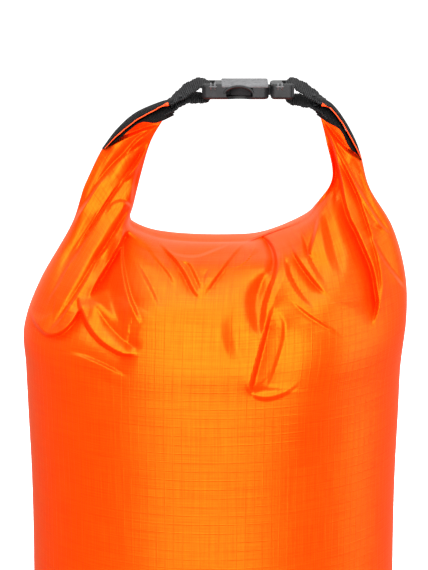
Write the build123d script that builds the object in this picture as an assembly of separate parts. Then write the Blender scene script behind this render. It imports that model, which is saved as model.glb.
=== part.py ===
from build123d import *
from math import atan2, degrees, sqrt
import os

# A roll-top dry bag, filled and closed, with its two roll ends buckled into a carrying loop.
#
# Frame: +Z up, the base rests on Z = 0 with the bag's axis on Z, and the front faces -Y.
# All lengths are millimetres. The bag is a cylinder of coated ripstop with a sewn-in round
# base. Its mouth carries two stiff black strips. The mouth is rolled up, both ends of the roll
# are bent upwards as the arms of a loop, and a side-release buckle for 20 mm webbing joins them.

# ---- driving dimensions: fabric ----
BODY_RADIUS = 106.0
WALL = 1.0
CLEAR = 0.3
SHOULDER_Z = 285.0
DOME_TOP_Z = 330.0
TAPE = 0.5
TAPE_WIDTH = 20.0
BASE_TAPE_WIDTH = 10.0
TAPE_GAP = 0.1

ROLL_Z = 324.0
ROLL_CENTRE_X = 8.0
ROLL_HALF_LENGTH = 58.0
ROLL_RADIUS = 15.0
ARM_FOOT_Z = 362.0
GATHER_FOOT_Z = 330.8

# ---- driving dimensions: mouth strips and webbing ----
STRIP = 1.2
STRIP_WIDTH = 20.0
STRIP_CORE_SHARE = 0.68
HEM = 0.5
WEBBING_WIDTH = 20.0
WEBBING = 1.2
TACK_LENGTH = 2.5
TACK_HEIGHT = 0.35
TACK_WIDTH = WEBBING_WIDTH - 4.0
TACK_FROM_END = 2.0

# ---- driving dimensions: buckle ----
BUCKLE_Z = 415.4
BUCKLE_THICKNESS = 8.5
BUCKLE_WIDTH = 27.0
BUCKLE_EDGE = 1.6
END_WALL = 0.6
SLOT_HALF = WEBBING_WIDTH / 2 + 0.6
BAR_RADIUS = 1.5
BAR_EMBED = 1.0
SOCKET_BAR_X = -5.2
SOCKET_MOUTH_X = 29.4
PLUG_FACE_X = 30.4
PLUG_BAR_X = 41.2
CROSS_WALL = 2.2
CAVITY_HALF_HEIGHT = 2.7
CAVITY_HALF_WIDTH = 10.6
WINDOW_X = (6.0, 20.6)
WINDOW_DEPTH = 5.0
SCALLOP_RADIUS = 8.2
SCALLOP_OFFSET = 4.5
RIB_HALF = 0.6
RIB_FROM_MOUTH = 8.0
PRONG_HALF_HEIGHT = 2.1
TONGUE_REACH = 4.5
TONGUE_HALF_WIDTH = 4.0
TONGUE_Z = (-1.9, -0.7)

# Ellipses of the dome, as (height, half width, half depth, centre in X)
DOME_SECTIONS = [
    (SHOULDER_Z, BODY_RADIUS, BODY_RADIUS, 0.0),
    (300.0, 104.5, 99.0, 1.5),
    (314.0, 99.0, 79.0, 5.0),
    (324.0, 93.0, 52.0, ROLL_CENTRE_X),
    (DOME_TOP_Z, 88.0, 21.0, ROLL_CENTRE_X),
]
DOME_MOUTH = (86.0, 18.0)

# Arm centre lines as (x, z, half width across the arm, half thickness in Y), foot to tip
LEFT_ARM = [
    (-58.0, ARM_FOOT_Z, 14.5, 12.0),
    (-53.0, 375.0, 11.5, 10.0),
    (-42.6, 385.6, 5.6, 8.5),
    (-31.0, 394.6, 2.2, 7.0),
]
RIGHT_ARM = [
    (74.0, ARM_FOOT_Z, 9.5, 12.0),
    (71.2, 375.0, 7.0, 10.0),
    (65.4, 387.0, 3.4, 8.5),
    (59.3, 396.2, 1.8, 7.0),
]
# Gathered feet of the arms as (height, half width, half depth, centre in X)
LEFT_GATHER = [(GATHER_FOOT_Z, 17.0, 14.0, -64.0), (ARM_FOOT_Z - CLEAR, 14.5, 12.0, -58.0)]
RIGHT_GATHER = [(GATHER_FOOT_Z, 16.0, 14.0, 76.0), (ARM_FOOT_Z - CLEAR, 9.5, 12.0, 74.0)]

# Arcs of the mouth strips and the hem between them, as (start, middle, end) in X and Z
LEFT_STRIPS = {
    "outer_mouth_strip": [(-62.5, 384.5), (-47.0, 401.0), (-25.5, 410.6)],
    "mouth_hem": [(-57.6, 387.6), (-45.0, 398.6), (-26.3, 407.2)],
    "inner_mouth_strip": [(-54.2, 389.0), (-43.6, 397.2), (-26.5, 404.6)],
}
RIGHT_STRIPS = {
    "outer_mouth_strip": [(81.5, 378.5), (74.6, 396.0), (61.8, 409.6)],
    "mouth_hem": [(78.2, 381.6), (72.2, 395.0), (61.2, 406.4)],
    "inner_mouth_strip": [(75.8, 383.6), (70.4, 394.4), (60.4, 404.2)],
}
STRIP_THICKNESS = {"outer_mouth_strip": STRIP, "mouth_hem": HEM, "inner_mouth_strip": STRIP}

LEFT_LOOP_END = (-21.0, 409.0)
RIGHT_LOOP_END = (56.6, 409.4)

# Front half of a prong seen from above, as (x, distance from the middle): from its root along
# the outer edge to the barb, then back from the tip along the inner edge
PRONG_ROOT_X = PLUG_FACE_X - 0.1
PRONG_OUTER = [(PRONG_ROOT_X, 7.6), (PRONG_ROOT_X, 10.2), (24.0, 10.0), (21.2, 9.6), (20.0, 9.4), (19.6, 12.2)]
PRONG_PAD = [(19.6, 12.2), (13.6, 12.6), (8.6, 9.8)]
PRONG_INNER = [(8.6, 9.8), (9.0, 7.6), (13.0, 8.2), (18.0, 7.9), (24.0, 7.8), (PRONG_ROOT_X, 7.6)]

ORANGE = Color(1.0, 0.36, 0.03)
BLACK = Color(0.06, 0.06, 0.07)
GREY = Color(0.15, 0.15, 0.16)
PALE = Color(0.85, 0.85, 0.82)
UPWARD = (Align.CENTER, Align.CENTER, Align.MIN)

NODES = {}


# ---- helpers ----
def keep(name, shape, colour):
    """Stores one node; a shape of several solids becomes a compound."""
    solids = shape.solids()
    part = solids[0] if len(solids) == 1 else Compound(children=list(solids))
    part.label = name
    part.color = colour
    NODES[name] = part


def block(x0, x1, y0, y1, z0, z1):
    """A box given by its limits."""
    return Pos((x0 + x1) / 2, (y0 + y1) / 2, (z0 + z1) / 2) * Box(x1 - x0, y1 - y0, z1 - z0)


def disc(radius, low, height):
    """A cylinder on the bag's axis that starts at a height."""
    return Pos(0, 0, low) * Cylinder(radius, height, align=UPWARD)


def bar_along_y(x, radius, length):
    """A webbing bar of the buckle."""
    return Pos(x, 0, BUCKLE_Z) * Rot(90, 0, 0) * Cylinder(radius, length)


def ellipse_loft(sections):
    """A loft through level ellipses given as (z, half width, half depth, centre x)."""
    outlines = [Plane.XY.offset(z) * Pos(cx, 0) * Ellipse(a, b) for z, a, b, cx in sections]
    return loft(outlines)


def limb(stations):
    """A loft of ellipses square to a centre line in the XZ plane; the first one is level."""
    outlines = []
    for i, (x, z, half_width, half_thickness) in enumerate(stations):
        before = stations[max(i - 1, 0)]
        after = stations[min(i + 1, len(stations) - 1)]
        along = Vector(after[0] - before[0], 0, after[1] - before[1]).normalized()
        if i == 0:
            along = Vector(0, 0, 1)
        across = Vector(along.Z, 0, -along.X)
        plane = Plane(origin=(x, 0, z), x_dir=across, z_dir=along)
        outlines.append(plane * Ellipse(half_width, half_thickness))
    return loft(outlines)


def circle_centre(a, b, c):
    """The centre of the circle through three points of a plane."""
    d = 2 * (a.X * (b.Y - c.Y) + b.X * (c.Y - a.Y) + c.X * (a.Y - b.Y))
    aa, bb, cc = (p.X**2 + p.Y**2 for p in (a, b, c))
    x = (aa * (b.Y - c.Y) + bb * (c.Y - a.Y) + cc * (a.Y - b.Y)) / d
    y = (aa * (c.X - b.X) + bb * (a.X - c.X) + cc * (b.X - a.X)) / d
    return Vector(x, y)


def arc_band(points, thickness, width):
    """A band of constant thickness along an arc in the XZ plane; the arc is its outer face."""
    outer = [Vector(*p) for p in points]
    centre = circle_centre(*outer)
    inner = [p + (centre - p).normalized() * thickness for p in outer]
    outline = [
        ThreePointArc(*outer),
        Line(outer[2], inner[2]),
        ThreePointArc(*reversed(inner)),
        Line(inner[0], outer[0]),
    ]
    face = Plane.XZ * make_face(outline)
    return extrude(face, amount=width / 2, both=True)


def rounded_plate(x0, x1, half_width, corner):
    """A plate with rounded plan corners and softened edges, centred on the buckle's height."""
    plan = RectangleRounded(x1 - x0, 2 * half_width, corner)
    low = Plane.XY.offset(-BUCKLE_THICKNESS / 2)
    plate = extrude(low * Pos((x0 + x1) / 2, 0) * plan, amount=BUCKLE_THICKNESS)
    rims = plate.faces().filter_by(Axis.Z).edges()
    return Pos(0, 0, BUCKLE_Z) * fillet(rims, BUCKLE_EDGE)


# ---- the bag ----
def make_body():
    """The side wall and the dome under the rolled mouth, one shell that is open at the mouth."""
    tube = disc(BODY_RADIUS, 0, SHOULDER_Z) - disc(BODY_RADIUS - WALL, 0, SHOULDER_Z)
    inner_sections = []
    for z, half_width, half_depth, centre_x in DOME_SECTIONS:
        lowered = z if z == SHOULDER_Z else z - WALL
        inner_sections.append((lowered, half_width - WALL, half_depth - WALL, centre_x))
    dome = ellipse_loft(DOME_SECTIONS) - ellipse_loft(inner_sections)
    mouth = Pos(ROLL_CENTRE_X, 0, DOME_TOP_Z) * extrude(Ellipse(*DOME_MOUTH), amount=4 * WALL, both=True)
    keep("body_panel", tube + (dome - mouth), ORANGE)


def make_base():
    keep("base_panel", disc(BODY_RADIUS - WALL - TAPE_GAP, 0, WALL), ORANGE)


def make_tapes():
    """The sealing tape round the base seam, and the one down the side seam at the back."""
    outer = BODY_RADIUS - WALL - TAPE_GAP
    foot = WALL + TAPE_GAP
    ring = disc(outer, foot, BASE_TAPE_WIDTH)
    ring -= disc(outer - TAPE, foot + TAPE, BASE_TAPE_WIDTH)
    ring -= disc(outer - BASE_TAPE_WIDTH, foot, BASE_TAPE_WIDTH)
    keep("base_seam_tape", ring, PALE)

    low = foot + BASE_TAPE_WIDTH + TAPE
    side = disc(outer, low, SHOULDER_Z - low) - disc(outer - TAPE, low, SHOULDER_Z - low)
    side &= block(-TAPE_WIDTH / 2, TAPE_WIDTH / 2, 0, BODY_RADIUS, 0, SHOULDER_Z)
    keep("side_seam_tape", side, PALE)


# ---- the rolled mouth ----
def make_roll():
    """The spindle of rolled fabric with the middle lengths of both mouth strips inside it."""
    upper = Pos(0, ROLL_RADIUS) * Rectangle(2 * ROLL_HALF_LENGTH, 2 * ROLL_RADIUS)
    half = Ellipse(ROLL_HALF_LENGTH, ROLL_RADIUS) & upper
    spindle = revolve(half, axis=Axis.X)
    core_length = 2 * ROLL_HALF_LENGTH * STRIP_CORE_SHARE
    slot_thickness = 2 * STRIP + HEM + 2 * TAPE_GAP
    spindle -= Box(core_length + 2 * TAPE_GAP, slot_thickness, STRIP_WIDTH + 2 * TAPE_GAP)
    keep("closure_roll", Pos(ROLL_CENTRE_X, 0, ROLL_Z) * spindle, ORANGE)
    for name, side in (("front", -1), ("rear", 1)):
        place = Pos(ROLL_CENTRE_X, side * (HEM + STRIP) / 2, ROLL_Z)
        keep(f"{name}_mouth_strip_core", place * Box(core_length, STRIP, STRIP_WIDTH), BLACK)


def make_arm(side, arm, gather, strips):
    """One end of the roll, bent upwards: gathered foot, tapering roll, strips and hem."""
    keep(f"{side}_arm_gather", ellipse_loft(gather), ORANGE)
    keep(f"{side}_arm_roll", limb(arm), ORANGE)
    for name, arc in strips.items():
        colour = ORANGE if name == "mouth_hem" else BLACK
        keep(f"{side}_{name}", arc_band(arc, STRIP_THICKNESS[name], STRIP_WIDTH), colour)


def make_webbing(side, bar_x, end):
    """Webbing round a buckle bar, two plies that come back to the mouth's end, and its stitches."""
    inner_radius = BAR_RADIUS + CLEAR
    run = Vector(end[0] - bar_x, 0, end[1] - BUCKLE_Z)
    turn = degrees(atan2(run.Z, run.X))
    centre = Pos((bar_x + end[0]) / 2, (BUCKLE_Z + end[1]) / 2)
    ring = SlotCenterToCenter(run.length, 2 * (inner_radius + WEBBING))
    ring -= SlotCenterToCenter(run.length, 2 * inner_radius)
    face = Plane.XZ * centre * Rot(0, 0, turn) * ring
    keep(f"{side}_webbing_loop", extrude(face, amount=WEBBING_WIDTH / 2, both=True), BLACK)

    along = run.normalized()
    across = Vector(-along.Z, 0, along.X)
    offset = inner_radius + WEBBING + TACK_HEIGHT / 2
    tacks = []
    for face_side in (1, -1):
        spot = Vector(end[0], 0, end[1]) - along * TACK_FROM_END + across * (face_side * offset)
        plane = Plane(origin=spot, x_dir=along, z_dir=across)
        tacks.append(plane * Box(TACK_LENGTH, TACK_WIDTH, TACK_HEIGHT))
    keep(f"{side}_bar_tacks", Compound(children=tacks), BLACK)


# ---- the side-release buckle ----
def make_socket():
    """The female half: webbing bar, a cavity open at the mouth, and two side windows."""
    half = BUCKLE_WIDTH / 2
    left = SOCKET_BAR_X - BAR_RADIUS - END_WALL
    corner = 3.5
    body = rounded_plate(left, SOCKET_MOUTH_X, half, corner)
    slot_right = SOCKET_BAR_X + BAR_RADIUS + CLEAR + WEBBING + 2.0
    full_z = (BUCKLE_Z - BUCKLE_THICKNESS, BUCKLE_Z + BUCKLE_THICKNESS)
    cavity_z = (BUCKLE_Z - CAVITY_HALF_HEIGHT, BUCKLE_Z + CAVITY_HALF_HEIGHT)
    body -= block(left - 1, slot_right, -SLOT_HALF, SLOT_HALF, *full_z)
    cavity_left = slot_right + CROSS_WALL
    body -= block(cavity_left, SOCKET_MOUTH_X + 1, -CAVITY_HALF_WIDTH, CAVITY_HALF_WIDTH, *cavity_z)
    for side in (-1, 1):
        window = block(*WINDOW_X, side * half - WINDOW_DEPTH, side * half + WINDOW_DEPTH, *cavity_z)
        scallop_centre = Pos(sum(WINDOW_X) / 2, side * (half + SCALLOP_OFFSET), BUCKLE_Z)
        body -= window + scallop_centre * Cylinder(SCALLOP_RADIUS, 3 * BUCKLE_THICKNESS)
    rib_z = (cavity_z[0] - TAPE, cavity_z[1] + TAPE)
    rib = block(cavity_left - TAPE, SOCKET_MOUTH_X - RIB_FROM_MOUTH, -RIB_HALF, RIB_HALF, *rib_z)
    bar = bar_along_y(SOCKET_BAR_X, BAR_RADIUS, 2 * (SLOT_HALF + BAR_EMBED))
    keep("buckle_socket", body + bar + rib, GREY)


def make_plug():
    """The male half's block with its webbing bar and the short tongue that centres it."""
    right = PLUG_BAR_X + BAR_RADIUS + END_WALL
    corner = 3.0
    body = rounded_plate(PLUG_FACE_X, right, BUCKLE_WIDTH / 2, corner)
    slot_left = PLUG_BAR_X - BAR_RADIUS - CLEAR - 2 * WEBBING
    full_z = (BUCKLE_Z - BUCKLE_THICKNESS, BUCKLE_Z + BUCKLE_THICKNESS)
    body -= block(slot_left, right + 1, -SLOT_HALF, SLOT_HALF, *full_z)
    bar = bar_along_y(PLUG_BAR_X, BAR_RADIUS, 2 * (SLOT_HALF + BAR_EMBED))
    tongue_z = (BUCKLE_Z + TONGUE_Z[0], BUCKLE_Z + TONGUE_Z[1])
    tongue_x = (PLUG_FACE_X - TONGUE_REACH, PLUG_FACE_X + 1)
    tongue = block(*tongue_x, -TONGUE_HALF_WIDTH, TONGUE_HALF_WIDTH, *tongue_z)
    keep("buckle_plug", body + bar + tongue, GREY)


def make_prong(name, side):
    """A spring arm with its barb and finger pad; its root butts on the plug's face."""
    outline = [Polyline(*PRONG_OUTER), ThreePointArc(*PRONG_PAD), Polyline(*PRONG_INNER)]
    face = make_face(outline)
    if side < 0:
        face = mirror(face, about=Plane.XZ)
    low = Plane.XY.offset(BUCKLE_Z - PRONG_HALF_HEIGHT)
    keep(name, extrude(low * face, amount=2 * PRONG_HALF_HEIGHT), GREY)


def main():
    make_body()
    make_base()
    make_tapes()
    make_roll()
    make_arm("left", LEFT_ARM, LEFT_GATHER, LEFT_STRIPS)
    make_arm("right", RIGHT_ARM, RIGHT_GATHER, RIGHT_STRIPS)
    make_webbing("left", SOCKET_BAR_X, LEFT_LOOP_END)
    make_webbing("right", PLUG_BAR_X, RIGHT_LOOP_END)
    make_socket()
    make_plug()
    make_prong("front_prong", -1)
    make_prong("rear_prong", 1)
    os.makedirs("parts", exist_ok=True)
    for name, part in NODES.items():
        export_step(part, f"parts/{name}.step")


main()
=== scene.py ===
import bpy
import bmesh
import math
import numpy as np
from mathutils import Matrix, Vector


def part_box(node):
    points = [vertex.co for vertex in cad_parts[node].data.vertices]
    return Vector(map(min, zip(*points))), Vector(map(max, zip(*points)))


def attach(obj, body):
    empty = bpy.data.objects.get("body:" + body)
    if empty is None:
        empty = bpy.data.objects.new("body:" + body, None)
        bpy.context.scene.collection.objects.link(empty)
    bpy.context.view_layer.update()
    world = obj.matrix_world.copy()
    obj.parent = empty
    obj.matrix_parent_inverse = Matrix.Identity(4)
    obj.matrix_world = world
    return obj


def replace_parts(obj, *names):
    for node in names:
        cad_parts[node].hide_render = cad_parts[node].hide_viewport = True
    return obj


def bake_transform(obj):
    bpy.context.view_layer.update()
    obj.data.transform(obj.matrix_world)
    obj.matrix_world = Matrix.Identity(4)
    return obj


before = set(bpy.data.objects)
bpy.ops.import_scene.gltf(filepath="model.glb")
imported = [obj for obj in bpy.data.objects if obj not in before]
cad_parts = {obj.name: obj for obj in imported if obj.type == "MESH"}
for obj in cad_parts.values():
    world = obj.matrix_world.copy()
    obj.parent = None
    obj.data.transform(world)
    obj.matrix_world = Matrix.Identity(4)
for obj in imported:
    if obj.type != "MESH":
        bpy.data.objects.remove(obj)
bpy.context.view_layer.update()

MM = 0.001

# ---- the view that the bag is seen in, in mm and radians ----
TARGET = np.array([-0.6, 0.0, 306.0])
CAMERA_DISTANCE = 1250.0
CAMERA_ELEVATION = math.radians(10.0)
FRAME_HEIGHT = 319.2
CAMERA_PLACE = TARGET + CAMERA_DISTANCE * np.array(
    [0.0, -math.cos(CAMERA_ELEVATION), math.sin(CAMERA_ELEVATION)]
)

# ---- the fabric skin: columns run up the bag, rows run round it ----
# Columns, as degrees from the left side to the right side
COLUMN_ANGLES = [0, 12, 25, 38, 50, 57, 65, 90, 115, 122, 130, 142, 155, 168, 180]
# Each front column from the cylinder up to the line of the rolled mouth, in mm (x, y, z)
FRONT_COLUMNS = [
    [(-107, 0, 284), (-98, 0, 309), (-79.8, 0, 341),
     (-71.3, 0, 365), (-55, 0, 392), (-25.5, 0, 403)],
    [(-104.5, -22.2, 284), (-96.5, -20, 308), (-80, -14, 336),
     (-68.5, -9, 363), (-51.5, -7.5, 388), (-28.5, 0, 399)],
    [(-97, -44, 284), (-89.5, -38, 307), (-76, -27, 330),
     (-61.5, -17, 355), (-47, -10, 377), (-35.5, 0, 387)],
    [(-84, -64, 284), (-79, -53, 307), (-68.5, -37, 326),
     (-57, -23, 346), (-48.5, -12, 361), (-40.5, 0, 371)],
    [(-68.5, -80, 284), (-65, -68, 306), (-59, -48, 323),
     (-53, -31, 337), (-48.5, -15, 346), (-45.5, 0, 351)],
    [(-57.5, -88.5, 284), (-55, -77, 307), (-51, -55, 324.5),
     (-47.8, -36, 335.5), (-47.2, -16, 340), (-47.8, 1, 341)],
    [(-45, -95.2, 284), (-44, -86, 308), (-42, -62, 325),
     (-40, -41, 332.5), (-38, -18, 335.5), (-37.5, 3, 334.8)],
    [(0, -105.4, 284), (1, -97, 308), (3, -69, 325),
     (5, -43, 330.5), (7, -20, 332.5), (8, 4, 330)],
    [(45.5, -95.2, 286), (45, -88, 310), (43, -64, 328),
     (42, -42, 335), (37, -20, 336.5), (33, 2, 336.6)],
    [(58, -89, 286.5), (57.5, -81, 310.5), (55, -59, 328.5),
     (52, -39, 339), (50, -19, 342.3), (49.5, 1, 342.8)],
    [(69.5, -81, 287), (69, -72, 311), (66, -53, 330),
     (61.5, -36, 343), (58.5, -18, 350), (56.8, 0, 352)],
    [(85, -65, 288), (84, -56, 311), (79, -39, 333),
     (71.5, -24, 351), (67, -12, 363), (65, 0, 366.5)],
    [(97.7, -44, 289), (96.5, -37, 312), (90.5, -26, 336),
     (80, -16, 357), (71, -10, 374), (61.5, 0, 387)],
    [(105, -22.5, 290), (104, -20, 313), (97, -14, 339),
     (84.5, -9, 361), (75, -7, 383.5), (57.8, 0, 402)],
    [(106.8, 0, 291), (105.8, 0, 315), (98.6, 0, 339.5),
     (85.7, 0, 361), (77.7, 0, 386.5), (57.5, 0, 405)],
]
# Radius of the cylinder below the columns, as (height, radius), and how far it stands to the left
PROFILE = [
    (0, 101.0), (6, 102.9), (60, 102.6), (120, 102.4),
    (170, 102.4), (205, 103.0), (235, 104.2), (262, 105.2),
]
FOOT_SHIFT = -1.0
# Radius of the circle that the columns are measured from
ROUND = 104.0
# Behind the crest the dome sinks, in mm for each mm of depth; this dies out round the bag over
# SINK_SPREAD degrees, and it sets in over SINK_RISE mm of height from SINK_FROM
BACK_SINK = 0.11
SINK_SPREAD = 27.0
SINK_FROM = 285.0
SINK_RISE = 40.0


def smooth(x):
    x = np.clip(x, 0.0, 1.0)
    return x * x * (3 - 2 * x)


def spline(points, t):
    """Catmull-Rom through points (n, k) at t in 0..n-1."""
    points = np.asarray(points, float)
    last = len(points) - 1
    i = np.clip(np.floor(t).astype(int), 0, last - 1)
    f = (np.asarray(t) - i)[:, None]
    padded = np.vstack([2 * points[0] - points[1], points, 2 * points[-1] - points[-2]])
    p0, p1, p2, p3 = padded[i], padded[i + 1], padded[i + 2], padded[i + 3]
    return 0.5 * (
        2 * p1 + (p2 - p0) * f + (2 * p0 - 5 * p1 + 4 * p2 - p3) * f**2 + (3 * p1 - p0 - 3 * p2 + p3) * f**3
    )


def control_net(side):
    """The net of one half, side -1 for the front and 1 for the back: (columns, rows, 3)."""
    net = []
    for angle, column in zip(COLUMN_ANGLES, FRONT_COLUMNS):
        a = math.radians(angle)
        foot = [(FOOT_SHIFT - r * math.cos(a), -r * math.sin(a), z) for z, r in PROFILE]
        net.append([*foot, *column])
    net = np.array(net, float)
    if side > 0:
        middle = np.exp(-(((np.array(COLUMN_ANGLES) - 90) / SINK_SPREAD) ** 2))
        above = smooth((net[:, :, 2] - SINK_FROM) / SINK_RISE)
        net[:, :, 2] += BACK_SINK * net[:, :, 1] * middle[:, None] * above
    net[:, :, 1] *= -side
    return net


# Coarse grid: columns in each half, and rows in each span of the net
COLUMNS_PER_HALF = 120
ROWS_PER_SPAN = [1, 4, 4, 4, 4, 6, 9, 10, 11, 11, 11, 11, 8]
FINER = 3


def circle(angles, side):
    a = np.radians(angles)
    return np.stack([-ROUND * np.cos(a), side * ROUND * np.sin(a), 0 * a], axis=1)


def through(knots, values, at):
    """Cubic curves through values (n, ...) at unevenly spaced knots, with parabolic slopes."""
    knots = np.asarray(knots, float)
    gap = np.diff(knots).reshape(-1, *[1] * (values.ndim - 1))
    rise = np.diff(values, axis=0) / gap
    slope = np.empty_like(values)
    slope[1:-1] = (rise[:-1] * gap[1:] + rise[1:] * gap[:-1]) / (gap[1:] + gap[:-1])
    slope[0] = 2 * rise[0] - slope[1]
    slope[-1] = 2 * rise[-1] - slope[-2]
    i = np.clip(np.searchsorted(knots, at, side="right") - 1, 0, len(knots) - 2)
    width = gap[i]
    f = (at - knots[i]).reshape(width.shape) / width
    start, end = (1 + 2 * f) * (1 - f) ** 2, f**2 * (3 - 2 * f)
    bend = f * (1 - f) ** 2 * slope[i] - f**2 * (1 - f) * slope[i + 1]
    return start * values[i] + end * values[i + 1] + width * bend


def half_grid(side):
    """Vertices (columns, rows, 3) of one half."""
    net = control_net(side)
    spans = np.concatenate(
        [np.arange(n) / n + k for k, n in enumerate(ROWS_PER_SPAN)] + [[len(ROWS_PER_SPAN)]]
    )
    rows = np.stack([spline(column, spans) for column in net])
    # the columns differ from a circle by something that is splined, so that round parts stay round
    angles = np.linspace(0, 180, COLUMNS_PER_HALF + 1)
    known = circle(COLUMN_ANGLES, side)
    return circle(angles, side)[:, None] + through(COLUMN_ANGLES, rows - known[:, None], angles)


def whole_grid():
    front, back = half_grid(-1), half_grid(1)
    # round the bag: front from left to right, then back from right to left
    return np.concatenate([front[:-1], back[::-1][:-1]], axis=0)


def normals_of(grid):
    """Outward unit normals of a grid that is closed in its first direction."""
    du = np.roll(grid, -1, axis=0) - np.roll(grid, 1, axis=0)
    dv = np.gradient(grid, axis=1)
    n = np.cross(du, dv)
    n /= np.maximum(np.linalg.norm(n, axis=2, keepdims=True), 1e-9)
    return n


def seen(points, side=-1):
    """Where a sight line through each point crosses the bag's middle plane: x and height in mm."""
    eye = CAMERA_PLACE * np.array([1.0, -side, 1.0])
    k = eye[1] / (eye[1] - points[..., 1])
    x = eye[0] + (points[..., 0] - eye[0]) * k
    z = eye[2] + (points[..., 2] - eye[2]) * k
    # heights on the screen, measured up the middle plane
    return np.stack([x, z], axis=-1)


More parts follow.
